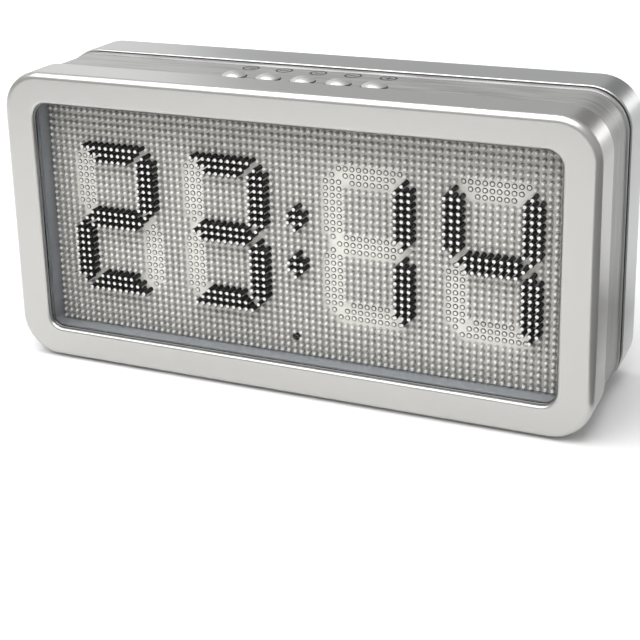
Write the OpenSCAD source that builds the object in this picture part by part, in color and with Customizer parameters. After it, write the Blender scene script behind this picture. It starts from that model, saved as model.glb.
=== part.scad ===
// Pin art clock: four digits drawn by blocks of sliding pins in a deep silver housing.
// Millimetres, Z up, front face towards -Y, origin under the middle of the bounding box.

/* [Pin field] */
// Distance between neighbouring pins
pitch = 3; // [2.6:0.1:3.4]
// Diameter of a moving pin's shaft
pin_d = 2; // [1.6:0.1:2.1]
// Diameter of a moving pin's white tip
tip_d = 1.6; // [1.2:0.1:1.8]
// Height of a moving pin's white tip
tip_h = 0.5; // [0.3:0.1:1]
// Gap all round a moving pin in its guide hole
pin_play = 0.2; // [0.15:0.01:0.25]
// Travel of a segment block
pin_travel = 6.5; // [6:0.5:9]
// Diameter of a fixed background peg
peg_d = 1.9; // [1.6:0.1:2.2]
// Height of a fixed background peg
peg_h = 2.8; // [1:0.1:3.5]
// Pin columns left and right of the digits
margin_cols = 4; // [3:1:6]
// Pin columns between the digits of one pair
digit_gap = 4; // [3:1:6]
// Pin columns between the two pairs of digits
colon_gap = 8; // [6:2:10]
// Pin rows above the digits
rows_above = 7; // [6:1:9]
// Pin rows below the digits
rows_below = 6; // [5:1:9]

/* [Housing] */
// Bezel border left and right of the window
border_side = 14.5; // [13:0.5:20]
// Bezel border above and below the window
border_top = 13.5; // [12.5:0.5:18]
// How far the pin field runs behind the lip at each side
field_hidden_side = 2; // [1:0.1:3]
// How far the pin field runs behind the lip above and below
field_hidden_top = 1.5; // [1:0.1:2]
// Outer corner radius
corner_r = 18; // [16:0.5:20]
// Window corner radius
window_r = 7; // [5:0.5:9]
// Depth of the bezel
bezel_depth = 20; // [19.5:0.5:22]
// Depth of the brushed band
band_depth = 31; // [31:0.5:36]
// Depth of the rear cover behind the groove
cover_depth = 24.5; // [18:0.5:26]
// Width of the groove between band and rear cover
groove_w = 1; // [0.6:0.1:1.5]
// Thickness of the bezel's front
face_t = 3; // [2.6:0.1:3.4]
// Wall of the bezel and of the rear cover
shell_t = 2.5; // [2.2:0.1:3]
// Rounding of the bezel's front edge and of the cover's back edge
front_round = 3; // [2:0.1:4]
// Rounding of the window's edge
window_round = 1.5; // [0.8:0.1:2]
// How far the band lies behind the bezel's outline
band_recess = 1.3; // [0.8:0.1:1.5]
// Wall of the band
band_t = 2; // [1.8:0.1:2.2]
// Height of the bead at the band's back edge
bead_h = 0.7; // [0.3:0.1:0.8]
// Width of the bead at the band's back edge
bead_w = 3.2; // [2:0.1:4]

/* [Display] */
// Depth of the panel's face behind the bezel's face
panel_depth = 17.4; // [17:0.1:19.4]
// Thickness of the panel
panel_t = 3; // [2.5:0.1:3.5]
// Thickness of the window pane
pane_t = 2; // [1.5:0.1:2.5]
// How far the pane runs behind the lip
pane_overlap = 4; // [3:0.1:4]
// Wall of the display surround
surround_t = 2; // [1.6:0.1:2]
// Gap between the pane and the surround
pane_gap = 2; // [0.5:0.1:3]
// Width of the rebate inside the surround's front edge
rebate_w = 0.6; // [0.3:0.1:1]
// Depth of the rebate inside the surround's front edge
rebate_l = 2; // [1:0.1:3]
// Gap between the outer pegs and the surround
surround_gap = 0.4; // [0.2:0.1:0.5]
// Diameter of the infrared receiver's lens
lens_d = 3.6; // [3:0.1:3.8]

/* [Drive] */
// Thickness of a segment block's carrier
carrier_t = 2; // [1.6:0.1:2.5]
// Gap between neighbouring carriers and behind the panel
carrier_gap = 0.3; // [0.25:0.05:0.4]
// Diameter of a plunger
plunger_d = 5; // [4:0.1:5.5]
// Gap all round a plunger in its bobbin
plunger_play = 0.2; // [0.15:0.01:0.3]
// Length of a bobbin
bobbin_l = 17; // [15:0.5:18]
// Diameter of a bobbin's flanges
bobbin_d = 12; // [11:0.5:13]
// Thickness of a bobbin's flanges
flange_t = 1.2; // [1:0.1:1.5]
// Wall of a bobbin's barrel
barrel_t = 1; // [0.8:0.1:1.2]
// Thickness of the circuit boards
board_t = 1.6; // [1.2:0.1:1.8]
// Room between the driver board and the control board
board_room = 6; // [5:0.5:6.5]

/* [Buttons] */
// Distance between neighbouring buttons
button_pitch = 16; // [14:0.5:18]
// Diameter of a button
button_d = 10.6; // [9:0.1:11]
// Gap all round a button in the band
button_play = 0.35; // [0.3:0.01:0.5]
// Height of a button's side above the band
button_rise = 0.5; // [0.3:0.1:0.8]
// Height of a button's dome
button_dome = 1.5; // [1:0.1:2]
// Press travel of a button
button_travel = 0.9; // [0.5:0.1:1]

/* [Fixings] */
// Diameter of the cover screws
cover_screw_d = 3; // [2.5:0.1:3.2]
// Diameter of the panel and board screws
panel_screw_d = 2.4; // [2:0.1:2.5]
// Distance of the cover screws from the housing's sides
cover_screw_in = 14.5; // [14:0.1:16]
// Height of the feet below the bezel
foot_rise = 1; // [0.5:0.1:2]
// Diameter of the feet
foot_d = 10; // [8:0.5:12]

/* [Hidden] */
$fn = 48;
eps = 0.01;
digit_w = 14;
digit_h = 23;
digit_shown = ["abged", "abgcd", "bc", "bcfg"];
segment_names = ["a", "b", "c", "d", "e", "f", "g"];
pair_step = digit_w + digit_gap;
half_step = 2 * digit_w + digit_gap + colon_gap;
digit_start = [margin_cols, margin_cols + pair_step, margin_cols + half_step, margin_cols + half_step + pair_step];
field_cols = 2 * margin_cols + 4 * digit_w + 2 * digit_gap + colon_gap;
field_rows = rows_above + digit_h + rows_below;
field_w = field_cols * pitch;
field_h = field_rows * pitch;

window_w = field_w - 2 * field_hidden_side;
window_h = field_h - 2 * field_hidden_top;
outer_w = window_w + 2 * border_side;
outer_h = window_h + 2 * border_top;
groove_at = bezel_depth + band_depth;
cover_at = groove_at + groove_w;
outer_d = cover_at + cover_depth;
band_w = outer_w - 2 * band_recess;
band_h = outer_h - 2 * band_recess;
band_r = corner_r - band_recess;
inside_w = band_w - 2 * band_t;
inside_h = band_h - 2 * band_t;
inside_r = band_r - band_t;
room = 0.2;
slack = 0.7;

pane_w = window_w + 2 * pane_overlap;
pane_h = window_h + 2 * pane_overlap;
pane_r = 4;
surround_at = face_t + pane_t + pane_gap;
surround_l = panel_depth - surround_at;
surround_w = field_w + 2 * (surround_gap + surround_t);
surround_h = field_h + 2 * (surround_gap + surround_t);
surround_r = surround_t + 3;
panel_w = inside_w - 2 * slack;
panel_h = inside_h - 2 * slack;
panel_r = inside_r - slack;
panel_back = panel_depth + panel_t;

carrier_end = pitch / 2 - carrier_gap;
carrier_at = panel_back + carrier_gap;
pin_l = carrier_at + pin_travel - panel_depth;
bobbin_at = carrier_at + carrier_t + pin_travel + carrier_gap;
bobbin_end = bobbin_at + bobbin_l;
plunger_l = bobbin_l - carrier_gap;
winding_d = bobbin_d - 1;
board_w = inside_w - 11;
board_h = inside_h - 9;
board_r = inside_r - 5;
driver_end = bobbin_end + board_t;
control_at = driver_end + board_room;
control_end = control_at + board_t;
cover_plate = outer_d - shell_t;

lip_at = band_recess + band_t + room;
lip_t = 1.6;
lip_l = 4;
step_at = shell_t - room;
shoulder_l = 4;
cover_round = 1.2;

screw_x = outer_w / 2 - cover_screw_in;
screw_y = outer_h / 2 - cover_screw_in + 1;
post_d = cover_screw_d + 4;
boss_l = 6;
screw_bite = 5;
head_d = 5.8;
head_h = 2.4;
sink_d = head_d + 0.6;
sink_l = 4;
panel_screw_x = [50, 100];
panel_boss_d = 5;
panel_screw_y = surround_h / 2 + room + 0.1 + panel_boss_d / 2;
panel_screw_l = 11;
panel_head_d = 4.4;
panel_head_h = 1.6;

band_top = band_h / 2;
band_under = inside_h / 2;
flange_d = button_d + 2 * button_play + 1;
flange_h = 1.2;
stem_d = 4;
stem_l = 2.5;
button_flange_top = band_under - room;
button_stem_end = button_flange_top - flange_h - stem_l;
switch_top = button_stem_end - button_travel - 0.05;
switch_size = 6;
switch_h = 3.5;
switch_pin_d = 3.4;
switch_pin_h = 1;
button_board_top = switch_top - switch_pin_h - switch_h;
button_board_under = button_board_top - board_t;
button_board_w = 4 * button_pitch + 20;
button_board_d = 11;
shelf_t = 2;
button_at = panel_back + carrier_gap + flange_d / 2;

lens_x = pin_x(margin_cols + 2 * digit_w + digit_gap + colon_gap / 2 - 1);
lens_y = pin_y(field_rows - 3);
receiver_w = 6;
receiver_h = 7;
receiver_t = 4;
colon_cols = [-1, 0, 1];
colon_middle = margin_cols + 2 * digit_w + digit_gap + colon_gap / 2;
colon_rows = [rows_above + 6, rows_above + 13];
colon_l = pin_l - (carrier_at - panel_back);

control_w = 100;
control_h = 56;
control_x = 42;
control_y = -22;
control_hole = 4;
inlet_x = control_x + control_w / 2 - 20;
inlet_y = control_y - control_h / 2 + 14;
inlet_body = 10;
inlet_nose = 8;
inlet_bore = 5.6;
inlet_bore_l = 9;
inlet_pin = 2;
inlet_pin_l = 8;
beeper_x = control_x - control_w / 2 + 20;
beeper_y = control_y + control_h / 2 - 14;
beeper_d = 12;
beeper_h = 8;
cell_x = control_x - control_w / 2 + 20;
cell_y = control_y - control_h / 2 + 16;
cell_d = 20;
cell_t = 3.2;
holder_d = 23;
holder_t = 1;
header_w = 30;
header_h = 5;
header_y = control_y + control_h / 2 - 10;
slot_w = 1.6;
slot_l = 14;
slot_count = 7;
slot_pitch = 4;
foot_x = outer_w / 2 - 30;

function pin_x(c) = (c - (field_cols - 1) / 2) * pitch;
function pin_y(r) = ((field_rows - 1) / 2 - r) * pitch;
right_bar = digit_w - 2;
last_row = digit_h - 1;
middle_row = last_row / 2;
function across(r, step, inset) =
    [for (k = [0:2]) [[2 + inset[k], r + k * step], [digit_w - 3 - inset[k], r + k * step]]];
function upright(c, first, last) =
    [for (k = [-1:1]) [[c + k, first + abs(k)], [c + k, last - abs(k)]]];
function segment_lines(s) =
    s == "a" ? across(0, 1, [0, 1, 2]) :
    s == "d" ? across(last_row, -1, [0, 1, 2]) :
    s == "g" ? across(middle_row - 1, 1, [1, 0, 1]) :
    s == "f" ? upright(1, 1, middle_row - 1) :
    s == "b" ? upright(right_bar, 1, middle_row - 1) :
    s == "e" ? upright(1, middle_row + 1, last_row - 1) :
    upright(right_bar, middle_row + 1, last_row - 1);
function line_pins(l) =
    let (steps = max(l[1][0] - l[0][0], l[1][1] - l[0][1]))
    [for (i = [0:steps]) l[0] + (l[1] - l[0]) / steps * i];
function segment_pins(s) = [for (l = segment_lines(s), p = line_pins(l)) p];
function segment_middle(s) = let (l = segment_lines(s)[1]) (l[0] + l[1]) / 2;
function segment_on(d, s) = len(search(s, digit_shown[d])) > 0;
function in_segments(c, r, d) =
    c >= digit_start[d] && c < digit_start[d] + digit_w &&
    len([for (p = digit_pins) if (p[0] == c - digit_start[d] && p[1] == r - rows_above) 1]) > 0;
function is_moving(c, r) = in_segments(c, r, 0) || in_segments(c, r, 1) || in_segments(c, r, 2) || in_segments(c, r, 3);
// Bare places between the ends of neighbouring segments
function in_seam(c, r, d) =
    let (over = min(c - digit_start[d], digit_start[d] + digit_w - 1 - c),
         down = min(r - rows_above, rows_above + last_row - r))
    ((down == 1 || down == 2) && over == down + 1) ||
    ((over == 1 || over == 2) && over + down == middle_row + 1);
function is_seam(c, r) = in_seam(c, r, 0) || in_seam(c, r, 1) || in_seam(c, r, 2) || in_seam(c, r, 3);
function is_colon(c, r) =
    len([for (first = colon_rows) if (r >= first + abs(c - colon_middle) && r <= first + 3 - abs(c - colon_middle)) 1]) > 0
    && abs(c - colon_middle) <= 1;
function is_lens(c, r) = norm([pin_x(c) - lens_x, pin_y(r) - lens_y]) < pitch / 2;
digit_pins = [for (s = segment_names, p = segment_pins(s)) p];

// Shared shapes are drawn as seen from the front: x right, y up, z the depth behind the bezel's face.
module front_view() {
    translate([0, -outer_d / 2, foot_rise + outer_h / 2]) rotate([90, 0, 0]) mirror([0, 0, 1]) children();
}

module rounded(w, h, r) {
    square([w - 2 * r, h], center = true);
    square([w, h - 2 * r], center = true);
    for (x = [-1, 1], y = [-1, 1]) translate([x * (w / 2 - r), y * (h / 2 - r)]) circle(r);
}

// The child is a wall's section: x runs out to r at the outline, y is the depth.
module swept_frame(w, h, r) {
    for (k = [0:3]) {
        along = k % 2 == 0 ? w : h;
        over = k % 2 == 0 ? h : w;
        rotate([0, 0, 90 * k]) {
            translate([r - along / 2, over / 2 - r, 0]) rotate([90, 0, 90]) linear_extrude(along - 2 * r) children();
            translate([along / 2 - r, over / 2 - r, 0]) rotate_extrude(angle = 90) children();
        }
    }
}

module at_corners(x, y) {
    for (i = [-1, 1], j = [-1, 1]) translate([i * x, j * y, 0]) children();
}

module at_panel_screws() {
    for (i = [-1, 1], j = [-1, 1], x = panel_screw_x) translate([i * x, j * panel_screw_y, 0]) children();
}

module at_control_holes() {
    translate([control_x, control_y, 0])
        at_corners(control_w / 2 - control_hole, control_h / 2 - control_hole) children();
}

module at_button(i) {
    translate([(i - 3) * button_pitch, 0, button_at]) rotate([-90, 0, 0]) children();
}

module at_coils() {
    for (d = [0:3], s = segment_names) {
        p = segment_middle(s);
        translate([pin_x(p[0] + digit_start[d]), pin_y(p[1] + rows_above), 0]) children();
    }
}

module bezel_section() {
    difference() {
        union() {
            translate([0, front_round]) square([corner_r, bezel_depth - front_round]);
            square([corner_r - front_round, front_round]);
            translate([corner_r - front_round, front_round]) circle(front_round);
        }
        translate([-eps, face_t]) square([corner_r - shell_t + eps, bezel_depth]);
        translate([-corner_r, -eps]) square([corner_r, bezel_depth]);
    }
}

module window_lip_section() {
    translate([window_r + window_round, 0]) square([border_lip - window_round, face_t]);
    translate([window_r, window_round]) square([window_round, face_t - window_round]);
    intersection() {
        translate([window_r + window_round, window_round]) circle(window_round);
        translate([window_r, 0]) square(window_round);
    }
}
border_lip = 3;

module front_bezel() {
    lip_w = window_w + 2 * border_lip;
    lip_h = window_h + 2 * border_lip;
    lip_r = window_r + border_lip;
    color("silver") front_view() difference() {
        union() {
            difference() {
                union() {
                    swept_frame(outer_w, outer_h, corner_r) bezel_section();
                    translate([-outer_w / 2 + corner_r, -outer_h / 2 + corner_r, 0])
                        cube([outer_w - 2 * corner_r, outer_h - 2 * corner_r, face_t]);
                }
                translate([0, 0, -1]) linear_extrude(face_t + 2) rounded(lip_w, lip_h, lip_r);
            }
            swept_frame(lip_w, lip_h, lip_r) window_lip_section();
            at_panel_screws() translate([0, 0, face_t]) cylinder(d = panel_boss_d, h = panel_depth - face_t);
        }
        at_panel_screws() translate([0, 0, panel_depth - panel_screw_l]) cylinder(d = panel_screw_d + 0.2, h = panel_screw_l + 1);
    }
}

module window_pane() {
    color([0.9, 0.95, 1, 0.3]) front_view() translate([0, 0, face_t]) linear_extrude(pane_t) rounded(pane_w, pane_h, pane_r);
}

module display_surround() {
    color("dimgray") front_view() translate([0, 0, surround_at]) swept_frame(surround_w, surround_h, surround_r) {
        inside = surround_r - surround_t;
        translate([inside, rebate_l]) square([surround_t, surround_l - rebate_l]);
        translate([inside + rebate_w, 0]) square([surround_t - rebate_w, rebate_l + eps]);
    }
}

module pin_panel() {
    hole_d = pin_d + 2 * pin_play;
    color("ivory") front_view() difference() {
        union() {
            translate([0, 0, panel_depth]) linear_extrude(panel_t) difference() {
                rounded(panel_w, panel_h, panel_r);
                for (c = [0:field_cols - 1], r = [0:field_rows - 1])
                    if (is_moving(c, r) || is_colon(c, r)) translate([pin_x(c), pin_y(r)]) circle(d = hole_d);
                translate([lens_x, lens_y]) circle(d = lens_d + 2 * room);
                at_panel_screws() circle(d = panel_screw_d + 0.5);
            }
            translate([0, 0, panel_back]) at_corners(screw_x, screw_y) cylinder(d = post_d + 1, h = boss_l);
            translate([-button_board_w / 2, button_board_under - shelf_t, panel_back])
                cube([button_board_w, shelf_t, button_board_d + carrier_gap]);
        }
        translate([0, 0, panel_back + boss_l - screw_bite]) at_corners(screw_x, screw_y)
            cylinder(d = cover_screw_d + 0.2, h = screw_bite + 1);
    }
}

module panel_pegs() {
    color("gainsboro") front_view() translate([0, 0, panel_depth - peg_h]) linear_extrude(peg_h)
        for (c = [0:field_cols - 1], r = [0:field_rows - 1])
            if (!is_moving(c, r) && !is_seam(c, r) && !is_colon(c, r) && !is_lens(c, r))
                translate([pin_x(c), pin_y(r)]) circle(d = peg_d);
}

module pin_block(pins, length) {
    for (p = pins) translate([p[0], p[1], -length]) {
        cylinder(d = tip_d, h = tip_h + eps);
        translate([0, 0, tip_h]) cylinder(d = pin_d, h = length - tip_h + eps);
    }
}

module segment(d, s) {
    shift = [digit_start[d], rows_above];
    middle = segment_middle(s) + shift;
    color("black") front_view() translate([0, 0, carrier_at + (segment_on(d, s) ? 0 : pin_travel)]) {
        linear_extrude(carrier_t) for (l = segment_lines(s)) {
            first = l[0] + shift;
            last = l[1] + shift;
            flat = first[1] == last[1];
            wide = flat ? carrier_end : pitch / 2;
            high = flat ? pitch / 2 : carrier_end;
            translate([pin_x(first[0]) - wide, pin_y(last[1]) - high])
                square([(last[0] - first[0]) * pitch + 2 * wide, (last[1] - first[1]) * pitch + 2 * high]);
        }
        pin_block([for (p = segment_pins(s)) [pin_x(p[0] + shift[0]), pin_y(p[1] + shift[1])]], pin_l);
        translate([pin_x(middle[0]), pin_y(middle[1]), carrier_t - eps]) cylinder(d = plunger_d, h = plunger_l + eps);
    }
}

module colon_pins() {
    color("black") front_view() translate([0, 0, panel_back]) for (first = colon_rows) {
        pins = [for (c = colon_cols, k = [0:3]) if (k >= abs(c) && k <= 3 - abs(c)) [pin_x(colon_middle + c), pin_y(first + k)]];
        linear_extrude(carrier_t) translate([pin_x(colon_middle), pin_y(first + 1.5)])
            square([2 * pitch + 2 * carrier_end, 3 * pitch + 2 * carrier_end], center = true);
        pin_block(pins, colon_l);
    }
}

module ir_receiver() {
    color([0.15, 0.1, 0.12]) front_view() translate([lens_x, lens_y, 0]) {
        translate([-receiver_w / 2, -receiver_h / 2, panel_back]) cube([receiver_w, receiver_h, receiver_t]);
        translate([0, 0, panel_depth]) cylinder(d = lens_d, h = panel_t + eps);
        intersection() {
            translate([0, 0, panel_depth]) sphere(d = lens_d);
            translate([0, 0, panel_depth - lens_d]) cylinder(d = 2 * lens_d, h = lens_d + eps);
        }
    }
}

module body_band() {
    bead_at = band_depth - bead_w;
    color("lightgray") front_view() difference() {
        translate([0, 0, bezel_depth]) swept_frame(band_w, band_h, band_r) union() {
            translate([band_r - band_t, 0]) square([band_t, band_depth]);
            translate([band_r - eps, bead_at + bead_h]) square([bead_h + eps, bead_w - 2 * bead_h]);
            translate([band_r, bead_at + bead_h]) circle(bead_h);
            translate([band_r, band_depth - bead_h]) circle(bead_h);
        }
        for (i = [1:5]) at_button(i) translate([0, 0, band_under - 1]) cylinder(d = button_d + 2 * button_play, h = band_t + 2);
    }
}

module button(i) {
    side_top = band_top + button_rise;
    dome_r = (pow(button_d / 2, 2) + pow(button_dome, 2)) / (2 * button_dome);
    color("silver") front_view() at_button(i) {
        translate([0, 0, button_stem_end]) cylinder(d = stem_d, h = stem_l + eps);
        translate([0, 0, button_flange_top - flange_h]) cylinder(d = flange_d, h = flange_h);
        translate([0, 0, button_flange_top - eps]) cylinder(d = button_d, h = side_top - button_flange_top + eps);
        intersection() {
            translate([0, 0, side_top + button_dome - dome_r]) sphere(dome_r);
            translate([0, 0, side_top - eps]) cylinder(d = button_d, h = dome_r);
        }
    }
}

module button_board() {
    color("green") front_view() translate([-button_board_w / 2, button_board_under, panel_back + carrier_gap])
        cube([button_board_w, board_t, button_board_d]);
}

module tact_switches() {
    color("dimgray") front_view() for (i = [1:5]) at_button(i) {
        translate([-switch_size / 2, -switch_size / 2, button_board_top]) cube([switch_size, switch_size, switch_h]);
        translate([0, 0, switch_top - switch_pin_h - eps]) cylinder(d = switch_pin_d, h = switch_pin_h + eps);
    }
}

module coil_bobbins() {
    bore = plunger_d / 2 + plunger_play;
    barrel = bore + barrel_t;
    color("white") front_view() at_coils() translate([0, 0, bobbin_at]) rotate_extrude()
        polygon([[bore, 0], [bobbin_d / 2, 0], [bobbin_d / 2, flange_t], [barrel, flange_t], [barrel, bobbin_l - flange_t],
                 [bobbin_d / 2, bobbin_l - flange_t], [bobbin_d / 2, bobbin_l], [bore, bobbin_l]]);
}

module coil_windings() {
    inner = plunger_d / 2 + plunger_play + barrel_t + 0.05;
    color("orange") front_view() at_coils() translate([0, 0, bobbin_at + flange_t]) rotate_extrude()
        translate([inner, 0]) square([winding_d / 2 - inner, bobbin_l - 2 * flange_t]);
}

module driver_board() {
    color("green") front_view() translate([0, 0, bobbin_end]) linear_extrude(board_t) difference() {
        rounded(board_w, board_h, board_r);
        at_corners(screw_x, screw_y) circle(d = cover_screw_d + 0.4);
    }
}

module circuit_chips() {
    chip = 10;
    chip_t = 2;
    color([0.2, 0.2, 0.2]) front_view() {
        for (x = [-90, -60, -30, 100]) translate([x - chip / 2, 20 - chip / 2, driver_end]) cube([chip, chip, chip_t]);
        translate([control_x - chip / 2, control_y - chip / 2, control_at - chip_t]) cube([chip, chip, chip_t]);
    }
}

module spacer_posts() {
    post_at = panel_back + boss_l;
    color("silver") front_view() translate([0, 0, post_at]) at_corners(screw_x, screw_y) linear_extrude(bobbin_end - post_at)
        difference() {
            circle(d = post_d);
            circle(d = cover_screw_d + 0.4);
        }
}

module control_board() {
    color("green") front_view() translate([0, 0, control_at]) linear_extrude(board_t) difference() {
        translate([control_x, control_y]) square([control_w, control_h], center = true);
        at_control_holes() circle(d = panel_screw_d + 0.4);
    }
}

module board_header() {
    color([0.1, 0.1, 0.1]) front_view() translate([control_x - header_w / 2, header_y - header_h / 2, driver_end])
        cube([header_w, header_h, board_room]);
}

module beeper() {
    color([0.1, 0.1, 0.1]) front_view() translate([beeper_x, beeper_y, control_end]) difference() {
        cylinder(d = beeper_d, h = beeper_h);
        translate([0, 0, beeper_h - 2]) cylinder(d = 2, h = 3);
    }
}

module cell_holder() {
    color([0.2, 0.2, 0.2]) front_view() translate([cell_x, cell_y, control_end]) difference() {
        cylinder(d = holder_d, h = holder_t + cell_t / 2);
        translate([0, 0, holder_t]) cylinder(d = cell_d + 2 * room, h = cell_t);
    }
}

module coin_cell() {
    color("silver") front_view() translate([cell_x, cell_y, control_end + holder_t]) cylinder(d = cell_d, h = cell_t);
}

module dc_inlet() {
    color([0.1, 0.1, 0.1]) front_view() translate([inlet_x, inlet_y, 0]) {
        difference() {
            union() {
                translate([-inlet_body / 2, -inlet_body / 2, control_end]) cube([inlet_body, inlet_body, cover_plate - control_end]);
                translate([0, 0, cover_plate - eps]) cylinder(d = inlet_nose, h = shell_t + eps);
            }
            translate([0, 0, outer_d - inlet_bore_l]) cylinder(d = inlet_bore, h = inlet_bore_l + 1);
        }
        translate([0, 0, outer_d - inlet_bore_l - eps]) cylinder(d = inlet_pin, h = inlet_pin_l + eps);
    }
}

module cover_section() {
    lip_x = corner_r - lip_at;
    difference() {
        union() {
            translate([0, cover_plate]) square([corner_r - front_round, shell_t]);
            translate([corner_r - shell_t, cover_at + cover_round])
                square([shell_t, cover_depth - cover_round - front_round]);
            translate([corner_r - front_round, outer_d - front_round]) circle(front_round);
            translate([corner_r - shell_t, cover_at]) square([shell_t - cover_round, cover_round + eps]);
            translate([corner_r - cover_round, cover_at + cover_round]) circle(cover_round);
            translate([lip_x - lip_t, groove_at]) square([corner_r - step_at - lip_x + lip_t, groove_w + shoulder_l]);
            translate([lip_x - lip_t, groove_at - lip_l]) square([lip_t, lip_l + eps]);
        }
        translate([corner_r - front_round - shell_t, cover_plate - front_round]) square([front_round, front_round]);
    }
}

module rear_cover() {
    color("silver") front_view() difference() {
        union() {
            swept_frame(outer_w, outer_h, corner_r) cover_section();
            translate([corner_r - outer_w / 2, corner_r - outer_h / 2, cover_plate])
                cube([outer_w - 2 * corner_r, outer_h - 2 * corner_r, shell_t]);
            translate([0, 0, driver_end]) at_corners(screw_x, screw_y) cylinder(d = sink_d + 3, h = outer_d - driver_end - 1);
            translate([0, 0, control_end]) at_control_holes() cylinder(d = panel_screw_d + 3.4, h = cover_plate - control_end + 1);
        }
        translate([0, 0, driver_end - 1]) at_corners(screw_x, screw_y) cylinder(d = cover_screw_d + 0.4, h = outer_d);
        translate([0, 0, outer_d - sink_l]) at_corners(screw_x, screw_y) cylinder(d = sink_d, h = sink_l + 1);
        translate([0, 0, control_end - 1]) at_control_holes() cylinder(d = panel_screw_d + 0.2, h = 7);
        translate([inlet_x, inlet_y, cover_plate - 1]) cylinder(d = inlet_nose + 2 * room, h = shell_t + 2);
        for (i = [0:slot_count - 1])
            translate([beeper_x + (i - (slot_count - 1) / 2) * slot_pitch - slot_w / 2, beeper_y - slot_l / 2, cover_plate - 1])
                cube([slot_w, slot_l, shell_t + 2]);
    }
}

module panel_screws() {
    color("gray") front_view() at_panel_screws() {
        translate([0, 0, panel_back]) cylinder(d = panel_head_d, h = panel_head_h);
        translate([0, 0, panel_depth - panel_screw_l + 1]) cylinder(d = panel_screw_d, h = panel_t + panel_screw_l - 1 + eps);
    }
}

module cover_screws() {
    tip = panel_back + boss_l - screw_bite + 0.5;
    head = outer_d - sink_l;
    color("gray") front_view() at_corners(screw_x, screw_y) difference() {
        union() {
            translate([0, 0, tip]) cylinder(d = cover_screw_d, h = head - tip + eps);
            translate([0, 0, head]) cylinder(d = head_d, h = head_h);
        }
        for (a = [0, 90]) rotate(a) translate([-head_d / 4, -0.4, head + head_h - 1.2]) cube([head_d / 2, 0.8, 2]);
    }
}

module board_screws() {
    color("gray") front_view() at_control_holes() {
        translate([0, 0, control_at - panel_head_h]) cylinder(d = panel_head_d, h = panel_head_h);
        translate([0, 0, control_at - eps]) cylinder(d = panel_screw_d, h = board_t + 5 + eps);
    }
}

module rubber_feet() {
    color([0.15, 0.15, 0.15]) front_view() for (x = [-foot_x, foot_x], z = [bezel_depth / 2, cover_at + cover_depth / 2])
        translate([x, -outer_h / 2, z]) rotate([90, 0, 0]) cylinder(d = foot_d, h = foot_rise);
}

front_bezel();
window_pane();
display_surround();
pin_panel();
panel_pegs();
colon_pins();
ir_receiver();
body_band();
button_board();
tact_switches();
coil_bobbins();
coil_windings();
driver_board();
circuit_chips();
spacer_posts();
control_board();
board_header();
beeper();
cell_holder();
coin_cell();
dc_inlet();
rear_cover();
panel_screws();
cover_screws();
board_screws();
rubber_feet();
for (i = [1:5]) button(i);
for (d = [1:4], s = segment_names) segment(d - 1, s);
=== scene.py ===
import math

import bmesh
import bpy
from mathutils import Matrix, Vector


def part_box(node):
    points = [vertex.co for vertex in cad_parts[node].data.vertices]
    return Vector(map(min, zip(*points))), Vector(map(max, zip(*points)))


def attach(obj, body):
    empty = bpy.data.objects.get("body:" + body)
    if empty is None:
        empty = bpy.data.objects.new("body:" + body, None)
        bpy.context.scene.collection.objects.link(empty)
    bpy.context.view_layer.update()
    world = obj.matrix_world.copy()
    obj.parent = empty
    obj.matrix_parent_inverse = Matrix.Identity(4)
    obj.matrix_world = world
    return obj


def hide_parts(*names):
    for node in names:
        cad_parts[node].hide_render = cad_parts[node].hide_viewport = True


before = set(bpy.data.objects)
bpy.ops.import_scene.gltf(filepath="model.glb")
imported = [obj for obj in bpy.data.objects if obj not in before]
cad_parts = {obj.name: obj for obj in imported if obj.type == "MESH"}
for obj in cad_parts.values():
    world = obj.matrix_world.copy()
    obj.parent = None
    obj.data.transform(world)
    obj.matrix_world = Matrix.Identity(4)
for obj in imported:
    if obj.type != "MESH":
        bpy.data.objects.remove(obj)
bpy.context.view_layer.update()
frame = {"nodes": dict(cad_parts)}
nodes = frame["nodes"]

# Sizes in millimetres, seen from the front: x right, up from the middle, depth behind the face
MM = 0.001
bezel_low, bezel_high = (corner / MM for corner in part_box("front_bezel"))
band_low, band_high = (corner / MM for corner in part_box("body_band"))
pane_low, pane_high = (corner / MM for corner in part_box("window_pane"))
cover_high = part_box("rear_cover")[1] / MM
panel_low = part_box("pin_panel")[0] / MM
front_y = bezel_low.y
middle_z = (bezel_low.z + bezel_high.z) / 2
outer_w = bezel_high.x - bezel_low.x
outer_h = bezel_high.z - bezel_low.z
outer_d = cover_high.y - front_y
bezel_depth = bezel_high.y - front_y
band_end = band_high.y - front_y
panel_depth = panel_low.y - front_y
corner_r = 18.0
pane_overlap = 4.0
window_w = pane_high.x - pane_low.x - 2 * pane_overlap
window_h = pane_high.z - pane_low.z - 2 * pane_overlap
window_r = 7.0
face_t = 3.0
shell_t = 2.5
front_round = 3.0
front_steps = 8
window_round = 1.5
window_steps = 6
edge_round = 0.25
edge_steps = 2

# Trim round the window
trim_in = 0.55
trim_out = 1.0
trim_at = 1.7
trim_gap = 0.02
trim_end = face_t - trim_gap
trim_round = 0.5
trim_steps = 5

# Band with its bead
band_recess = 1.3
band_t = 2.0
bead_h = (band_high.x - band_low.x) / 2 - outer_w / 2 + band_recess
bead_w = 3.2
bead_at = band_end - bead_w
bead_round = 0.5
bead_steps = 4

# Cover with its groove and openings
groove_w = 1.0
groove_in = 2.3
# How far behind the cover's front the painted groove shade reaches
groove_shade_reach = 0.2
cover_at = band_end + groove_w
cover_round = 1.2
cover_steps = 5
cut_over = 1.0
screw_head_r = 2.9
recess_r = 3.2
recess_depth = 4.0
inlet_r = 4.2
inlet_depth = 5.0
slot_w = 1.6
slot_l = 14.0
slot_depth = 4.0
slot_count = 7
slot_pitch = 4.0

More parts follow.
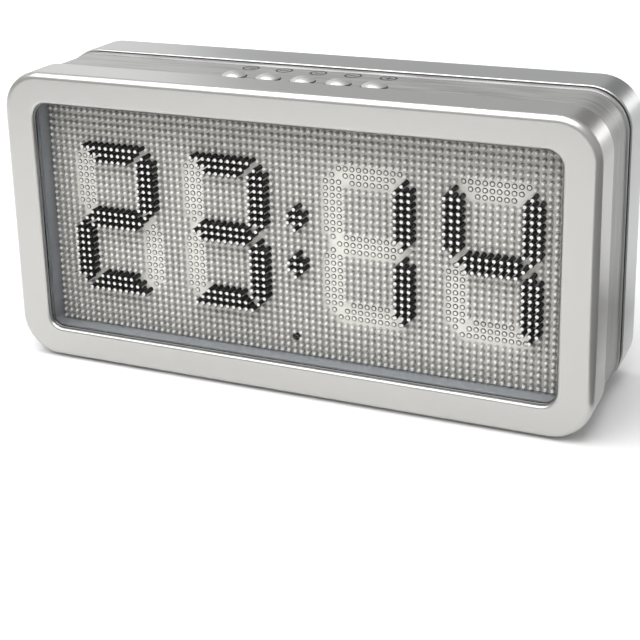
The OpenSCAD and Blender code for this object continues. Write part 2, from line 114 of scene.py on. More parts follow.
# Buttons, with heights above the band's top
button_count = 5
button_d = 10.6
button_play = 0.35
lead_depth = 0.4
lead_h = 0.6
stem_r = 2.0
flange_out = 0.5
flange_low = -3.4
flange_high = -2.2
neck_in = 0.45
neck_high = 0.1
lip_high = 0.35
side_up = 0.5
dome_h = 1.8
dome_steps = 10

# Printed marks behind the buttons
mark_depth = 43.2
mark_d = 7.7
mark_line = 0.9
mark_h = 0.03
mark_steps = 40
glyph_line = 0.75
glyph_l = 3.6
tick_l = 2.2
hook_l = 1.6
bell_x = 0.9
bell_r = 1.25
bell_steps = 24

# Pin field, with places counted in pins
pitch = 3.0
field_cols = 80
field_rows = 36
digit_starts = (4, 22, 44, 62)
digit_w = 14
digit_h = 23
rows_above = 7
bar_start = 2
upright_at = 1
lanes = (-1, 0, 1)
seam_steps = (1, 2)
segment_names = "abcdefg"
colon_middle = 40
colon_rows = (13, 20)
colon_h = 4
lens_place = (39, 33)

# Background pegs and the white tips of the pins
peg_d = 1.9
peg_h = 2.8
peg_tip_d = 1.4
peg_tip_h = 0.5
peg_taper = 0.86
peg_seam = 0.05
peg_sides = 10
tip_d = 1.54
tip_h = 0.5
tip_skin = 0.03
tip_soft = 0.02
tip_sides = 16


def seen(x, up, depth):
    """A point as seen from the front, in metres."""
    return Vector((x, front_y + depth, middle_z + up)) * MM


def metres(value):
    return value * MM


# Shader maths
class Value:
    """A number from a node. Sums on it add Math nodes."""

    def __init__(self, nodes, socket):
        self.nodes = nodes
        self.socket = socket

    def maths(self, operation, first, second):
        return self.nodes.node("Math", {"operation": operation}, {0: first, 1: second})

    def __add__(self, other):
        return self.maths("ADD", self, other)

    def __radd__(self, other):
        return self.maths("ADD", other, self)

    def __sub__(self, other):
        return self.maths("SUBTRACT", self, other)

    def __rsub__(self, other):
        return self.maths("SUBTRACT", other, self)

    def __mul__(self, other):
        return self.maths("MULTIPLY", self, other)

    def __rmul__(self, other):
        return self.maths("MULTIPLY", other, self)


class Nodes:
    """A node tree, filled by values and links."""

    def __init__(self, tree):
        self.tree = tree

    def feed(self, socket, value):
        if isinstance(value, Value):
            self.tree.links.new(value.socket, socket)
        else:
            socket.default_value = value

    def node(self, kind, settings=None, sockets=None, output=0):
        made = self.tree.nodes.new("ShaderNode" + kind)
        for key, value in (settings or {}).items():
            setattr(made, key, value)
        for key, value in (sockets or {}).items():
            self.feed(made.inputs[key], value)
        return Value(self, made.outputs[output])

    def ramp(self, value, start, end, low, high):
        """A value that runs from low to high while another runs from start to end."""
        ends = {"From Min": start, "From Max": end, "To Min": low, "To Max": high}
        return self.node("MapRange", {}, {"Value": value, **ends})


# The sockets of a Mix node that carry colours
MIX_FIRST = 6
MIX_SECOND = 7
MIX_RESULT = 2


class Finish(Nodes):
    """A node material with one Principled shader."""

    def __init__(self, name, colour, roughness, metallic=0.0, alpha=1.0, specular=0.5):
        self.material = bpy.data.materials.new(name)
        self.material.use_nodes = True
        super().__init__(self.material.node_tree)
        self.shader = self.tree.nodes["Principled BSDF"]
        self.put("Base Color", (*colour, 1.0))
        self.put("Roughness", roughness)
        self.put("Metallic", metallic)
        self.put("Alpha", alpha)
        self.put("Specular IOR Level", specular)

    def put(self, name, value):
        self.feed(self.shader.inputs[name], value)

    def place(self, scale=(1.0, 1.0, 1.0)):
        """Object coordinates in metres, stretched by a scale for each axis."""
        spot = self.node("TexCoord", output="Object")
        return self.node("Mapping", {}, {"Vector": spot, "Scale": scale})

    def noise(self, scale, detail=2.0, stretch=(1.0, 1.0, 1.0)):
        sockets = {"Vector": self.place(stretch), "Scale": scale, "Detail": detail}
        return self.node("TexNoise", {}, sockets)

    def shade(self, mask, dark, light):
        """A base colour that runs from dark to light by a mask."""
        ends = {"Factor": mask, MIX_FIRST: (*dark, 1.0), MIX_SECOND: (*light, 1.0)}
        self.put("Base Color", self.node("Mix", {"data_type": "RGBA"}, ends, MIX_RESULT))

    def rough(self, mask, middle, spread):
        """A roughness that varies round its middle by a mask."""
        self.put("Roughness", mask * spread + (middle - spread / 2))

    def bump(self, height, strength, distance):
        sockets = {"Height": height, "Strength": strength, "Distance": distance}
        self.put("Normal", self.node("Bump", {}, sockets))


def tinted(colour, by):
    """A colour made darker or lighter."""
    return tuple(min(1.0, part * by) for part in colour)


def blend(first, second, share):
    """Two masks mixed, with the share of the first."""
    return first * share + second * (1 - share)


def silver_paint(name, colour, metallic, roughness):
    """Metal paint with a fine flake and faint clouds."""
    finish = Finish(name, colour, roughness, metallic)
    flake = finish.noise(scale=5200.0, detail=1.0)
    cloud = finish.noise(scale=28.0)
    finish.shade(blend(flake, cloud, share=0.5), tinted(colour, by=0.95), tinted(colour, by=1.05))
    finish.rough(cloud, roughness, spread=0.06)
    finish.bump(flake, strength=0.03, distance=0.00004)
    return finish.material


def brushed_metal(name, colour, metallic, roughness):
    """Metal with fine and broad streaks that run round the housing."""
    contrast = 2.5
    finish = Finish(name, colour, roughness, metallic)
    fine = finish.noise(scale=1.0, detail=3.0, stretch=(30.0, 9000.0, 30.0))
    broad = finish.noise(scale=1.0, detail=3.0, stretch=(40.0, 640.0, 40.0))
    streak = (blend(fine, broad, share=0.35) - 0.5) * contrast + 0.5
    finish.shade(streak, tinted(colour, by=0.5), tinted(colour, by=1.5))
    finish.rough(streak, roughness, spread=0.16)
    finish.bump(fine, strength=0.06, distance=0.00005)
    return finish.material


def moulded(name, colour, roughness, grain=0.04, specular=0.5):
    """Plastic or rubber with a fine grain and faint clouds."""
    finish = Finish(name, colour, roughness, specular=specular)
    grit = finish.noise(scale=3400.0)
    cloud = finish.noise(scale=35.0)
    finish.shade(blend(cloud, grit, share=0.6), tinted(colour, by=0.93), tinted(colour, by=1.06))
    finish.rough(grit, roughness, spread=0.1)
    finish.bump(grit, strength=grain, distance=0.00005)
    return finish.material


def clear_sheet(name, colour, alpha, roughness):
    """A clear sheet with a faint haze."""
    finish = Finish(name, colour, roughness, alpha=alpha)
    haze = finish.noise(scale=22.0)
    finish.rough(haze, roughness, spread=0.03)
    return finish.material


def wound_wire(name, colour, dark, light):
    """Copper wire, wound turn beside turn along the depth."""
    finish = Finish(name, colour, roughness=0.32, metallic=1.0)
    sockets = {"Vector": finish.place(), "Scale": 900.0}
    turns = finish.node("TexWave", {"bands_direction": "Y"}, sockets, "Fac")
    finish.shade(turns, dark, light)
    finish.bump(turns, strength=0.4, distance=0.0001)
    return finish.material


def circuit_board(name, colour, dark, light):
    """A coated board with its tracks."""
    roughness = 0.4
    finish = Finish(name, colour, roughness)
    sockets = {"Vector": finish.place(), "Scale": 160.0}
    tracks = finish.node("TexBrick", {}, sockets, "Fac")
    finish.shade(tracks, dark, light)
    finish.rough(tracks, roughness, spread=0.1)
    return finish.material


silver = silver_paint("bezel_silver", (0.518, 0.514, 0.5), metallic=0.9, roughness=0.3)
cover_silver = silver_paint("tray_silver", (0.5, 0.505, 0.505), metallic=0.9, roughness=0.32)
brushed = brushed_metal("band_metal", (0.272, 0.269, 0.266), metallic=0.4, roughness=0.36)
button_metal = silver_paint("button_metal", (0.56, 0.56, 0.557), metallic=0.95, roughness=0.44)
trim_chrome = silver_paint("trim_chrome", (0.15, 0.152, 0.155), metallic=1.0, roughness=0.16)
clear = clear_sheet("pane_clear", (0.12, 0.125, 0.125), alpha=0.03, roughness=0.035)
surround_grey = moulded("surround_plastic", (0.29, 0.304, 0.323), roughness=0.5)
panel_cream = moulded("panel_plastic", (0.84, 0.82, 0.76), roughness=0.6)
# The pegs' sides are a darker grey than their tips: painted shade on the sides.
peg_side_painted_shade = moulded("peg_side_painted_shade", (0.46, 0.46, 0.45), roughness=0.5)
peg_tip = moulded("peg_tip", (0.92, 0.91, 0.88), roughness=0.4)
pin_black = moulded("pin_shaft", (0.006, 0.006, 0.006), roughness=0.45, specular=0.2)
tip_white = moulded("pin_tip", (0.88, 0.87, 0.84), roughness=0.45)
lens_dark = moulded("lens_dark", (0.01, 0.006, 0.008), roughness=0.12, grain=0.0)
mark_ink = moulded("mark_ink", (0.03, 0.03, 0.032), roughness=0.6)
part_black = moulded("part_plastic", (0.02, 0.02, 0.022), roughness=0.5)
bobbin_white = moulded("bobbin_plastic", (0.8, 0.8, 0.77), roughness=0.5)
screw_steel = silver_paint("screw_steel", (0.45, 0.45, 0.46), metallic=1.0, roughness=0.3)
foot_rubber = moulded("foot_rubber", (0.02, 0.02, 0.02), roughness=0.8, grain=0.2)
# Near-black for the groove between band and cover: painted shade in the groove.
groove_painted_shade = moulded("groove_painted_shade", (0.03, 0.03, 0.032), roughness=0.6, grain=0.1)
wire_copper = wound_wire("coil_wire", (0.55, 0.2, 0.07),
                         dark=(0.3, 0.09, 0.03), light=(0.62, 0.25, 0.1))
board_green = circuit_board("board_resin", (0.02, 0.16, 0.06),
                            dark=(0.015, 0.12, 0.045), light=(0.03, 0.2, 0.08))

# Mesh helpers
CORNER_STEPS = 14
TURN_STEPS = 48
SMOOTH_ANGLE = math.radians(38)
WELD = 1e-7
UPWARD = Matrix.Identity(4)
BACKWARD = Matrix.Rotation(-math.pi / 2, 4, "X")
FORWARD = Matrix.Rotation(math.pi / 2, 4, "X")


def new_mesh(name, bm):
    """A mesh from a bmesh, which is then freed."""
    mesh = bpy.data.meshes.new(name)
    bm.to_mesh(mesh)
    bm.free()
    return mesh


def new_object(name, data):
    made = bpy.data.objects.new(name, data)
    bpy.context.scene.collection.objects.link(made)
    return made


def piece(name, bm, materials, body, replaced=()):
    """Makes an object from a bmesh, smooth where its faces meet at a low angle."""
    for face in bm.faces:
        face.smooth = True
    mesh = new_mesh(name, bm)
    mesh.set_sharp_from_angle(angle=SMOOTH_ANGLE)
    for material in materials:
        mesh.materials.append(material)
    made = new_object(name, mesh)
    even = made.modifiers.new("even_normals", "WEIGHTED_NORMAL")
    even.keep_sharp = True
    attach(made, body)
    for node in replaced:
        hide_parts(node)
    return made


def round_edges(bm, edges, radius, steps):
    bmesh.ops.bevel(bm, geom=edges, offset=metres(radius), offset_type="OFFSET", affect="EDGES",
                    segments=steps, profile=0.5, material=-1, clamp_overlap=True)


def rim(bm, w, h, r, depth):
    """The outline of a rounded rectangle at one depth, as edges."""
    before = set(bm.edges)
    stand = Matrix.Translation(seen(0, 0, depth)) @ FORWARD
    size = Matrix.Diagonal((metres(w), metres(h), 1.0, 1.0))
    plate = bmesh.ops.create_grid(bm, x_segments=1, y_segments=1, size=0.5, matrix=stand @ size)
    bmesh.ops.bevel(bm, geom=plate["verts"], offset=metres(r), offset_type="OFFSET",
                    affect="VERTICES", segments=CORNER_STEPS, profile=0.5, material=-1)
    edges = [edge for edge in bm.edges if edge not in before]
    faces = list({face for edge in edges for face in edge.link_faces})
    bmesh.ops.delete(bm, geom=faces, context="FACES_ONLY")
    return edges


def follow(vert, old, new):
    """Moves a vertex from its place on one rounded outline to the same place on the next."""
    old_w, old_h, old_r, _ = old
    new_w, new_h, new_r, depth = new
    x = vert.co.x / MM
    up = vert.co.z / MM - middle_z
    side = math.copysign(1, x)
    level = math.copysign(1, up)
    over = (x - side * (old_w / 2 - old_r)) / old_r
    rise = (up - level * (old_h / 2 - old_r)) / old_r
    new_x = side * (new_w / 2 - new_r) + over * new_r
    new_up = level * (new_h / 2 - new_r) + rise * new_r
    vert.co = seen(new_x, new_up, depth)


def shell(outlines, rounds, closed):
    """Walls from outline to outline, each (w, h, r, depth), with rounds of (outline, radius, steps).

    The last wall meets the first, or both ends are filled.
    """
    bm = bmesh.new()
    rims = [rim(bm, *outlines[0])]
    stages = outlines + outlines[:1] if closed else outlines
    for old, new in zip(stages, stages[1:]):
        made = bmesh.ops.extrude_edge_only(bm, edges=rims[-1])["geom"]
        verts = {part for part in made if isinstance(part, bmesh.types.BMVert)}
        edges = [part for part in made if isinstance(part, bmesh.types.BMEdge)]
        rims.append([edge for edge in edges if verts.issuperset(edge.verts)])
        for vert in verts:
            follow(vert, old, new)
    if closed:
        bmesh.ops.remove_doubles(bm, verts=bm.verts, dist=WELD)
    else:
        bmesh.ops.edgeloop_fill(bm, edges=rims[0])
        bmesh.ops.edgeloop_fill(bm, edges=rims[-1])
    bmesh.ops.recalc_face_normals(bm, faces=bm.faces)
    for index, radius, steps in rounds:
        round_edges(bm, rims[index], radius, steps)
    return bm


def inset(outline, by):
    """A rounded outline moved inwards, or outwards by a size below zero."""
    w, h, r = outline
    return w - 2 * by, h - 2 * by, r - by


def carve(made, cutter_bm):
    """Cuts a bmesh out of a piece and keeps the result as its mesh."""
    bmesh.ops.recalc_face_normals(cutter_bm, faces=cutter_bm.faces)
    cutter = new_object("cutter", new_mesh("cutter", cutter_bm))
    cut = made.modifiers.new("cut", "BOOLEAN")
    cut.operation = "DIFFERENCE"
    cut.solver = "EXACT"
    cut.object = cutter
    made.modifiers.move(len(made.modifiers) - 1, 0)
    bpy.context.view_layer.update()
    made.modifiers["even_normals"].show_viewport = False
    carved = made.evaluated_get(bpy.context.evaluated_depsgraph_get())
    mesh = bpy.data.meshes.new_from_object(carved)
    made.modifiers.remove(cut)
    made.modifiers["even_normals"].show_viewport = True
    made.data = mesh
    mesh.set_sharp_from_angle(angle=SMOOTH_ANGLE)
    bpy.data.objects.remove(cutter)


def drum(bm, spot, facing, low_r, high_r, length, sides=TURN_STEPS):
    """A closed drum or cone whose low end sits at spot."""
    middle = Matrix.Translation((0, 0, metres(length) / 2))
    bmesh.ops.create_cone(bm, cap_ends=True, segments=sides, radius1=metres(low_r),
                          radius2=metres(high_r), depth=metres(length),
                          matrix=Matrix.Translation(spot) @ facing @ middle)


def block(bm, low, high):
    """A box between two points given as seen from the front."""
    first = seen(*low)
    second = seen(*high)
    size = Matrix.Diagonal((*(second - first), 1.0))
    bmesh.ops.create_cube(bm, size=1.0, matrix=Matrix.Translation((first + second) / 2) @ size)


def spin(bm, profile, spot, steps, closed):
    """Spins (radius, height) points round an upright axis, as an open line or a closed ring."""
    points = [bm.verts.new(spot + Vector((metres(r), 0, metres(h)))) for r, h in profile]
    ends = points[1:] + points[:1] if closed else points[1:]
    edges = [bm.edges.new(pair) for pair in zip(points, ends)]
    bmesh.ops.spin(bm, geom=points + edges, cent=spot, axis=(0, 0, 1), angle=math.tau,
                   steps=steps, use_merge=True)


def turned(profile, spot):
    """A closed turned form, from a profile that starts and ends on its axis."""
    bm = bmesh.new()
    spin(bm, profile, spot, TURN_STEPS, closed=False)
    bmesh.ops.remove_doubles(bm, verts=bm.verts, dist=WELD)
    bmesh.ops.recalc_face_normals(bm, faces=bm.faces)
    return bm


def arc(centre_h, radius, start, end, steps):
    """Profile points on a circle round a place on the axis, between two angles in degrees."""
    angles = [math.radians(start + (end - start) * step / steps) for step in range(steps + 1)]
    return [(radius * math.cos(a), centre_h + radius * math.sin(a)) for a in angles]


def stamped(template, spots):
    """Copies of a small template bmesh at many spots, in one bmesh."""
    mesh = new_mesh("template", template)
    bm = bmesh.new()
    here = Vector((0, 0, 0))
    for spot in spots:
        mesh.transform(Matrix.Translation(spot - here))
        bm.from_mesh(mesh)
        here = spot
    bpy.data.meshes.remove(mesh)
    return bm


# Housing
window = (window_w, window_h, window_r)
outer = (outer_w, outer_h, corner_r)
inner = inset(outer, shell_t)
bezel_bm = shell([(*window, face_t), (*window, 0), (*outer, 0), (*outer, bezel_depth),
                  (*inner, bezel_depth), (*inner, face_t)],
                 [(1, window_round, window_steps), (2, front_round, front_steps),
                  (3, edge_round, edge_steps)], closed=True)
piece("bezel_frame", bezel_bm, [silver], "housing", ["front_bezel"])

trim_inner = inset(window, trim_in)
trim_outer = inset(window, -trim_out / 2)
trim_bm = shell([(*trim_outer, trim_at), (*trim_inner, trim_at), (*trim_inner, trim_end),
                 (*trim_outer, trim_end)],
                [(1, trim_round, trim_steps)], closed=True)
piece("pane_trim", trim_bm, [trim_chrome], "housing")

band_outer = inset(outer, band_recess)
band_inner = inset(band_outer, band_t)
bead = inset(band_outer, -bead_h)
band_bm = shell([(*band_outer, bezel_depth), (*band_outer, bead_at), (*bead, bead_at + bead_h),
                 (*bead, band_end - bead_h), (*band_outer, band_end), (*band_inner, band_end),
                 (*band_inner, bezel_depth)],
                [(2, bead_round, bead_steps), (3, bead_round, bead_steps)], closed=True)
band = piece("brushed_tube", band_bm, [brushed], "housing", ["body_band"])

button_spots = []
for index in range(button_count):
    low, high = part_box("button_%d" % (index + 1))
    button_spots.append((low + high) / 2)
holes = bmesh.new()
hole_r = button_d / 2 + button_play
band_top = middle_z + band_outer[1] / 2
for spot in button_spots:
    foot = Vector((spot.x, spot.y, metres(band_top - band_t - cut_over)))
    drum(holes, foot, UPWARD, hole_r, hole_r, band_t + 2 * cut_over)
    lead = Vector((spot.x, spot.y, metres(band_top - lead_depth)))
    drum(holes, lead, UPWARD, hole_r, hole_r + lead_h, lead_h)
carve(band, holes)

groove = inset(outer, groove_in)
cover_bm = shell([(*inner, outer_d - shell_t), (*inner, band_end), (*groove, band_end),
                  (*groove, cover_at), (*outer, cover_at), (*outer, outer_d)],
                 [(4, cover_round, cover_steps), (5, front_round, front_steps)], closed=False)
# The groove and the front of the cover's rounded edge take the near-black finish: painted shade in
# the groove.
groove_shade_back = seen(0, 0, cover_at + groove_shade_reach).y
for face in cover_bm.faces:
    face.material_index = int(face.calc_center_median().y < groove_shade_back)
cover = piece("back_tray", cover_bm, [cover_silver, groove_painted_shade], "housing",
              ["rear_cover"])


def middle_of(box):
    """The middle of a box, as x and up."""
    low, high = (corner / MM for corner in box)
    return (low.x + high.x) / 2, (low.z + high.z) / 2 - middle_z


screw_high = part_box("cover_screws")[1] / MM
screw_x = screw_high.x - screw_head_r
screw_up = screw_high.z - middle_z - screw_head_r
inlet_x, inlet_up = middle_of(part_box("dc_inlet"))
beeper_x, beeper_up = middle_of(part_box("beeper"))
openings = bmesh.new()
for side in (-1, 1):
    for level in (-1, 1):
        recess = seen(side * screw_x, level * screw_up, outer_d - recess_depth)
        drum(openings, recess, BACKWARD, recess_r, recess_r, recess_depth + cut_over)
inlet_front = seen(inlet_x, inlet_up, outer_d - inlet_depth)
drum(openings, inlet_front, BACKWARD, inlet_r, inlet_r, inlet_depth + cut_over)
for index in range(slot_count):
    x = beeper_x + (index - (slot_count - 1) / 2) * slot_pitch
    block(openings, (x - slot_w / 2, beeper_up - slot_l / 2, outer_d - slot_depth),
          (x + slot_w / 2, beeper_up + slot_l / 2, outer_d + cut_over))
carve(cover, openings)

# Buttons
rim_r = button_d / 2
flange_r = hole_r + flange_out
neck_r = rim_r - neck_in
dome_r = (rim_r ** 2 + dome_h ** 2) / (2 * dome_h)
dome_middle = side_up + dome_h - dome_r
edge_angle = math.degrees(math.acos(rim_r / dome_r))
button_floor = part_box("button_1")[0].z / MM - band_top
stem = [(0, button_floor), (stem_r, button_floor), (stem_r, flange_low)]
flange = [(flange_r, flange_low), (flange_r, flange_high), (neck_r, flange_high)]
edge = [(neck_r, neck_high), (rim_r, lip_high), (rim_r, side_up)]
dome = arc(dome_middle, dome_r, edge_angle, 90, dome_steps)[1:]
button_profile = stem + flange + edge + dome
for index, spot in enumerate(button_spots):
    name = "button_%d" % (index + 1)
    button_bm = turned(button_profile, Vector((spot.x, spot.y, metres(band_top))))
    piece("dome_%d" % (index + 1), button_bm, [button_metal], name, [name])


# Printed marks
def mark_bar(bm, x, y, length, turn):
    """A flat ink stroke on the band's top, around (x, y) in metres."""
    spot = Matrix.Translation((x, y, metres(band_top + mark_h / 2)))
    size = Matrix.Diagonal((metres(length), metres(glyph_line), metres(mark_h), 1.0))
    bmesh.ops.create_cube(bm, size=1.0, matrix=spot @ Matrix.Rotation(turn, 4, "Z") @ size)


def mark_ring(bm, x, y, radius, line, steps):
    """A flat ink ring on the band's top."""
    hole = radius - line
    corners = [(radius, 0.0), (radius, mark_h), (hole, mark_h), (hole, 0.0)]
    spin(bm, corners, Vector((x, y, metres(band_top))), steps, closed=True)


# The strokes of each button's sign, as x, back, length and turn
signs = (
    [(-1.4, 0.0, tick_l, 0.5)],
    [(0.4, 0.0, glyph_l, 0.0), (-1.3, -0.5, hook_l, 1.1)],
    [(-0.8, -0.3, tick_l, -0.5), (0.9, 0.1, tick_l, 0.7)],
    [(0.0, 0.0, glyph_l, 0.0)],
    [(0.0, 0.0, glyph_l, 0.0), (0.0, 0.0, glyph_l, math.pi / 2)],
)
marks = bmesh.new()
mark_y = seen(0, 0, mark_depth).y
for index, spot in enumerate(button_spots):
    mark_ring(marks, spot.x, mark_y, mark_d / 2, mark_line, mark_steps)
    if index == 0:
        mark_ring(marks, spot.x + metres(bell_x), mark_y, bell_r, glyph_line, bell_steps)
    for x, back, length, turn in signs[index]:
        mark_bar(marks, spot.x + metres(x), mark_y + metres(back), length, turn)
bmesh.ops.recalc_face_normals(marks, faces=marks.faces)
piece("button_marks", marks, [mark_ink], "housing")


# Pin field
def pin_place(column, row, depth):
    """A place in the grid of pins, counted from the top left."""
    x = (column - (field_cols - 1) / 2) * pitch
    up = ((field_rows - 1) / 2 - row) * pitch
    return seen(x, up, depth)


def across(row, step, gaps):
    """The pins of a level bar, a row for each gap at its ends."""
    return [(column, row + k * step) for k, gap in enumerate(gaps)
            for column in range(bar_start + gap, digit_w - bar_start - gap)]


def upright(column, first, last):
    """The pins of an upright bar, with pointed ends."""
    return [(column + k, row) for k in lanes for row in range(first + abs(k), last + 1 - abs(k))]


last_row = digit_h - 1
middle_row = last_row // 2
right_at = digit_w - 1 - upright_at
segment_pins = {
    "a": across(0, 1, (0, 1, 2)),
    "b": upright(right_at, 1, middle_row - 1),
    "c": upright(right_at, middle_row + 1, last_row - 1),
    "d": across(last_row, -1, (0, 1, 2)),
    "e": upright(upright_at, middle_row + 1, last_row - 1),
    "f": upright(upright_at, 1, middle_row - 1),
    "g": across(middle_row - 1, 1, (1, 0, 1)),
}
colon_pins = {(colon_middle + k, first + row) for first in colon_rows for k in lanes
              for row in range(abs(k), colon_h - abs(k))}
moving = {(start + column, rows_above + row) for start in digit_starts
          for pins in segment_pins.values() for column, row in pins}


def pin_tip():
    """The white end of a pin, open at its back, with a softened rim."""
    bm = bmesh.new()
    height = metres(tip_h + tip_skin)
    drum(bm, Vector((0, 0, 0)), FORWARD, tip_d / 2, tip_d / 2, tip_h + tip_skin, tip_sides)
    front = [edge for edge in bm.edges if all(vert.co.y < -height / 2 for vert in edge.verts)]
    back = [face for face in bm.faces if all(vert.co.y > -height / 2 for vert in face.verts)]
    bmesh.ops.delete(bm, geom=back, context="FACES_ONLY")
    round_edges(bm, front, tip_soft, 1)
    for face in bm.faces:
        face.material_index = int(face.calc_center_median().y < -height + metres(tip_soft))
    return bm


def background_peg():
    """A background peg with a smaller white tip on its front end, its grey sides darker than the tip
    as painted shade.
    """
    bm = bmesh.new()
    body_h = peg_h - peg_tip_h
    drum(bm, Vector((0, 0, 0)), FORWARD, peg_d / 2, peg_d / 2, body_h, peg_sides)
    bm.normal_update()
    back = [face for face in bm.faces if round(face.normal.y) == 1]
    front = [face for face in bm.faces if round(face.normal.y) == -1]
    bmesh.ops.delete(bm, geom=back, context="FACES_ONLY")
    bmesh.ops.inset_region(bm, faces=front, thickness=metres((peg_d - peg_tip_d) / 2))
    raised = bmesh.ops.extrude_face_region(bm, geom=front)["geom"]
    verts = [part for part in raised if isinstance(part, bmesh.types.BMVert)]
    bmesh.ops.delete(bm, geom=front, context="FACES_ONLY")
    bmesh.ops.translate(bm, verts=verts, vec=(0, -metres(peg_tip_h), 0))
    bmesh.ops.scale(bm, verts=verts, vec=(peg_taper, 1, peg_taper))
    # Faces behind the tip take the darker grey, as painted shade on the peg's sides; the tip takes
    # the white.
    for face in bm.faces:
        face.material_index = int(face.calc_center_median().y < -metres(body_h + peg_seam))
    return bm


def in_seam(column, row):
    """The bare places between neighbouring segments of a digit."""
    for start in digit_starts:
        over = min(column - start, start + digit_w - 1 - column)
        down = min(row - rows_above, rows_above + last_row - row)
        corner = down in seam_steps and over == down + 1
        waist = over in seam_steps and over + down == middle_row + 1
        if corner or waist:
            return True
    return False


taken = moving | colon_pins | {lens_place}
peg_spots = [pin_place(column, row, panel_depth)
             for row in range(field_rows) for column in range(field_cols)
             if (column, row) not in taken and not in_seam(column, row)]
piece("peg_field", stamped(background_peg(), peg_spots), [peg_side_painted_shade, peg_tip],
      "housing", ["panel_pegs"])


def tips(name, places, node, body):
    """The white tips of a block of pins, which begin a tip's height behind its front."""
    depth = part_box(node)[0].y / MM - front_y + tip_h
    spots = [pin_place(column, row, depth) for column, row in places]
    piece(name, stamped(pin_tip(), spots), [pin_black, tip_white], body)


segments = [(digit, segment) for digit in range(len(digit_starts)) for segment in segment_names]
for digit, segment in segments:
    node = "segment_%d%s" % (digit + 1, segment)
    start = digit_starts[digit]
    places = [(start + column, rows_above + row) for column, row in segment_pins[segment]]
    tips("tips_%d%s" % (digit + 1, segment), places, node, node)
tips("tips_colon", sorted(colon_pins), "colon_pins", "housing")

# Finishes of the parts that keep their solid shape
kept_finishes = {
    "window_pane": clear,
    "display_surround": surround_grey,
    "pin_panel": panel_cream,
    "colon_pins": pin_black,
    "ir_receiver": lens_dark,
    "button_board": board_green,
    "tact_switches": part_black,
    "coil_bobbins": bobbin_white,
    "coil_windings": wire_copper,
    "driver_board": board_green,
    "circuit_chips": part_black,
    "spacer_posts": screw_steel,
    "control_board": board_green,
    "board_header": part_black,
    "beeper": part_black,
    "cell_holder": part_black,
    "coin_cell": screw_steel,
    "dc_inlet": part_black,
    "panel_screws": screw_steel,
    "cover_screws": screw_steel,
    "board_screws": screw_steel,
    "rubber_feet": foot_rubber,
}
for digit, segment in segments:
    kept_finishes["segment_%d%s" % (digit + 1, segment)] = pin_black
for node, material in kept_finishes.items():
    mesh = nodes[node].data
    mesh.materials.clear()
    mesh.materials.append(material)

# Floor, which glows towards its far left as a lit backdrop does
floor_half = 6.0
glow_start = 0.2
glow_end = 0.9
near_glow = 0.03
far_glow = 0.5
SEEN_RAYS = ("Is Camera Ray", "Is Glossy Ray", "Is Transmission Ray")
floor_bm = bmesh.new()
bmesh.ops.create_grid(floor_bm, x_segments=1, y_segments=1, size=floor_half)
floor = new_object("floor", new_mesh("floor", floor_bm))
floor_white = Finish("floor_white", (0.8, 0.8, 0.8), roughness=0.9, specular=0.0)
floor_rays = [floor_white.node("LightPath", output=kind) for kind in SEEN_RAYS]
far_left = {0: floor_white.place(), 1: (-1.0, 1.0, 0.0)}
reach = floor_white.node("VectorMath", {"operation": "DOT_PRODUCT"}, far_left, "Value")
glow = floor_white.ramp(reach, glow_start, glow_end, near_glow, far_glow)
floor_white.put("Emission Color", (floor_rays[0] + floor_rays[1] + floor_rays[2]) * glow)
floor_white.put("Emission Strength", 1.0)
floor.data.materials.append(floor_white.material)


# Cards that darken the reflections, in metres
def dark_card(name, material, spot, size, lean=0.0):
    """A matt card that shows only in reflections, leaning outwards by an angle."""
    bm = bmesh.new()
    stand = Matrix.Translation(spot) @ Matrix.Rotation(lean, 4, "Y")
    bmesh.ops.create_cube(bm, size=1.0, matrix=stand @ Matrix.Diagonal((*size, 1.0)))
    card = new_object(name, new_mesh(name, bm))
    card.data.materials.append(material)
    card.visible_camera = False
    card.visible_diffuse = False
    card.visible_shadow = False


card_grey = moulded("card_grey", (0.17, 0.17, 0.17), roughness=0.9)
card_black = moulded("card_black", (0.04, 0.04, 0.04), roughness=0.9)
dark_card("side_card", card_grey, spot=(0.23, -0.125, 0.062), size=(0.001, 0.46, 0.19),
          lean=math.radians(51))
dark_card("corner_card", card_black, spot=(0.32, 1.42, 0.62), size=(0.5, 0.001, 0.36))

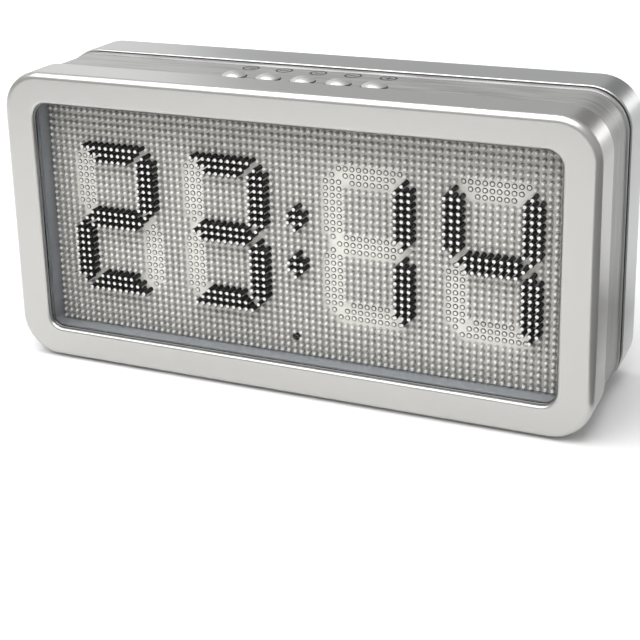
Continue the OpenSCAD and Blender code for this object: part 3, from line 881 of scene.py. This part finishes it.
# Sky, a little brighter above the horizon
horizon_height = 0.04
horizon_level = 0.45
sky_height = 0.3
sky_level = 0.5
world = bpy.data.worlds.new("studio")
bpy.context.scene.world = world
world.use_nodes = True
sky = Nodes(world.node_tree)
way = sky.node("TexCoord", output="Generated")
height = sky.node("SeparateXYZ", {}, {"Vector": way}, "Z")
level = sky.ramp(height, horizon_height, sky_height, horizon_level, sky_level)
backdrop = world.node_tree.nodes["Background"]
sky.feed(backdrop.inputs["Strength"], level)
sky.feed(backdrop.inputs["Color"], (1.0, 1.0, 1.0, 1.0))


# Lamps, in metres and watts
def softbox(name, spot, aim, size, power):
    """A lamp with a wide face, unseen by the camera, turned to a point."""
    lamp = bpy.data.lights.new(name, "AREA")
    lamp.shape = "RECTANGLE"
    lamp.size, lamp.size_y = size
    lamp.energy = power
    made = new_object(name, lamp)
    made.location = spot
    made.rotation_euler = (Vector(aim) - Vector(spot)).to_track_quat("-Z", "Y").to_euler()
    made.visible_camera = False


softbox("key", spot=(-0.12, -0.33, 0.9), aim=(0.0, 0.0, 0.06), size=(1.2, 1.1), power=15)
softbox("back_left", spot=(-2.0, 1.5, 0.9), aim=(0.0, 0.0, 0.1), size=(2.2, 1.2), power=5)
softbox("corner_strip", spot=(0.6, 1.41, 0.25), aim=(0.1, 0.0, 0.1), size=(0.4, 0.25), power=0.8)

# Camera, fitted to the photo's edges
azimuth = math.radians(24.059)
elevation = math.radians(17.379)
roll = math.radians(-1.303)
focal_length = 80.542
sensor_width = 36.0
eye_right = 243.13
eye_before = 502.54
eye_up = 264.59
ahead = Vector((-math.sin(azimuth) * math.cos(elevation),
                math.cos(azimuth) * math.cos(elevation),
                -math.sin(elevation)))
level_right = Vector((math.cos(azimuth), math.sin(azimuth), 0))
level_up = level_right.cross(ahead)
right = math.cos(roll) * level_right + math.sin(roll) * level_up
upwards = math.cos(roll) * level_up - math.sin(roll) * level_right
lens = bpy.data.cameras.new("camera")
lens.sensor_width = sensor_width
lens.lens = focal_length
lens.shift_y = -0.2
lens.clip_start = 0.01
camera = new_object("camera", lens)
eye = Vector((eye_right, front_y - eye_before, bezel_low.z + eye_up)) * MM
facing = Matrix((right, upwards, -ahead)).transposed().to_4x4()
camera.matrix_world = Matrix.Translation(eye) @ facing
bpy.context.scene.camera = camera
bpy.context.scene.view_settings.view_transform = "Standard"
